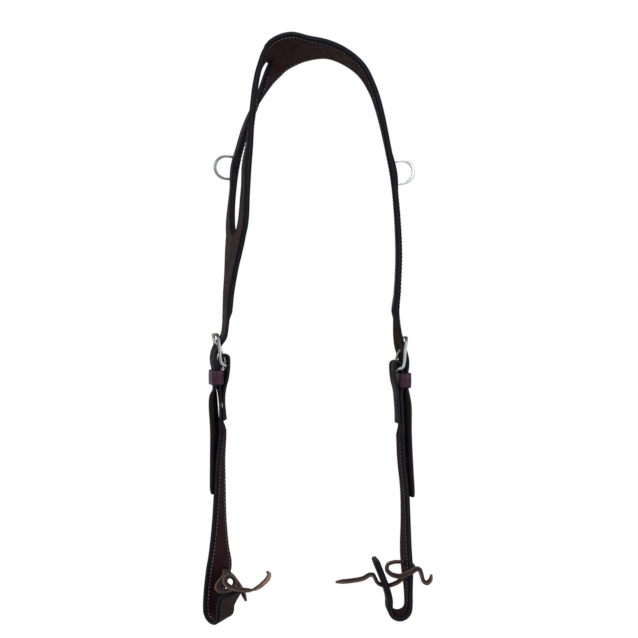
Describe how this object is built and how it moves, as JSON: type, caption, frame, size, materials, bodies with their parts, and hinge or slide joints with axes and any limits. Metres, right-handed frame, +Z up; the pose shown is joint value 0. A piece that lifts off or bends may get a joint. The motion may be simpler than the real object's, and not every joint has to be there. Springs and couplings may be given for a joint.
{
  "type": "headstall",
  "caption": "Western headstall with a split-ear crown strap, buckled cheek straps, dee rings and laced bit ends, hung from its crown.",
  "frame": {"origin": "the middle of the crown's underside, where it rests on the poll", "axes": "+Z up, away from the bit; +Y from the horse's brow towards its neck; +X across the head"},
  "size_m": [0.193, 0.0532, 0.4926],
  "materials": {
    "strap_leather": "oiled",
    "lining_leather": "oiled",
    "keeper_leather": "polished",
    "lace_leather": "matt",
    "polished_steel": "polished"
  },
  "bodies": {
    "straps": {"crown_strap": "strap_leather", "crown_lining": "lining_leather", "cheek_strap_left": "strap_leather", "cheek_strap_right": "strap_leather", "cheek_lining_left": "lining_leather", "cheek_lining_right": "lining_leather", "keeper_left": "keeper_leather", "keeper_right": "keeper_leather", "tie_lace_left": "lace_leather", "tie_lace_right": "lace_leather"},
    "left_buckle": {"buckle_frame_left": "polished_steel"},
    "right_buckle": {"buckle_frame_right": "polished_steel"},
    "left_tongue": {"buckle_tongue_left": "polished_steel"},
    "right_tongue": {"buckle_tongue_right": "polished_steel"},
    "left_dee": {"dee_left": "polished_steel"},
    "right_dee": {"dee_right": "polished_steel"}
  },
  "joints": [
    {"name": "left_dee_swing", "type": "hinge", "parent": "straps", "child": "left_dee", "pos_m": [-0.06273, 0.01917, -0.09603], "axis": [-0.0874, 0.0143, -0.9961], "range_deg": [-20, 20]},
    {"name": "right_dee_swing", "type": "hinge", "parent": "straps", "child": "right_dee", "pos_m": [0.07093, -0.00001, -0.10268], "axis": [0.1711, -0.0007, -0.9853], "range_deg": [-20, 20]},
    {"name": "left_buckle_lift", "type": "hinge", "parent": "straps", "child": "left_buckle", "pos_m": [-0.0709, 0, -0.2639], "axis": [0.2588, -0.9659, 0], "range_deg": [0, 2.5]},
    {"name": "right_buckle_lift", "type": "hinge", "parent": "straps", "child": "right_buckle", "pos_m": [0.0734, 0, -0.2664], "axis": [-0.1736, 0.9848, 0], "range_deg": [0, 2.5]},
    {"name": "left_tongue_lift", "type": "hinge", "parent": "left_buckle", "child": "left_tongue", "pos_m": [-0.0709, 0, -0.2639], "axis": [0.2588, -0.9659, 0], "range_deg": [0, 4]},
    {"name": "right_tongue_lift", "type": "hinge", "parent": "right_buckle", "child": "right_tongue", "pos_m": [0.0734, 0, -0.2664], "axis": [-0.1736, 0.9848, 0], "range_deg": [0, 4]}
  ]
}
